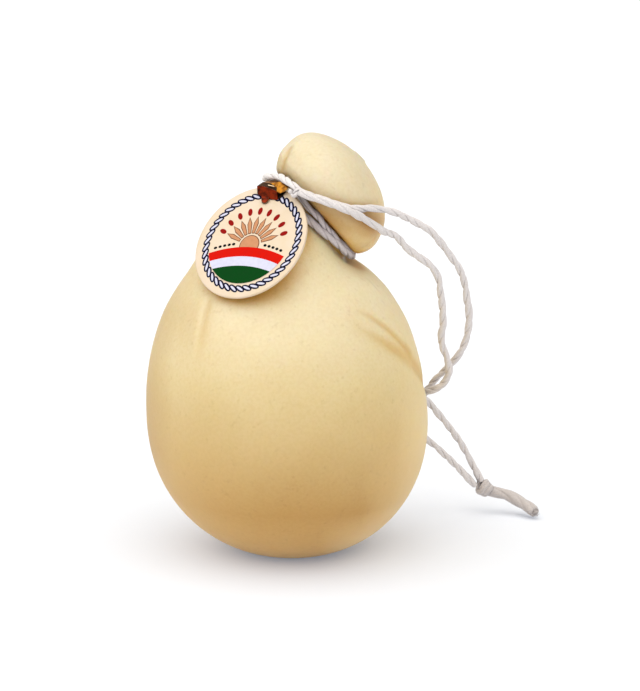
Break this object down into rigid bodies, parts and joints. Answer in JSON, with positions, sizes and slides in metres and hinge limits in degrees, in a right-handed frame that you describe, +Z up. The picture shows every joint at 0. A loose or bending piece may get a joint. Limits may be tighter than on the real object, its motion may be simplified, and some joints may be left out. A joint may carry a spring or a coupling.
{
  "type": "caciocavallo cheese",
  "caption": "Pear-shaped caciocavallo cheese with a smooth waxy rind, tied off at the neck with cotton string that carries a round tag on a metal clip.",
  "frame": {"origin": "centre of the small flat spot that the cheese stands on", "axes": "+Z up from the flat spot through the body, -Y towards the front with the tag, +X to the side that the head leans to and the string hangs on"},
  "size_m": [0.1668, 0.1159, 0.1732],
  "materials": {
    "rind": "satin waxy rind, cream above and golden below",
    "cotton_string": "matt twisted cotton",
    "printed_card": "glossy printed card",
    "copper_clip": "bright coppery sheet metal"
  },
  "bodies": {
    "root": {"cheese": "rind", "neck_tie": "cotton_string", "tie_knot": "cotton_string", "string_upper": "cotton_string", "string_lower": "cotton_string", "end_knot": "cotton_string", "string_tail": "cotton_string", "tag": "printed_card", "tag_clip": "copper_clip"}
  },
  "joints": []
}
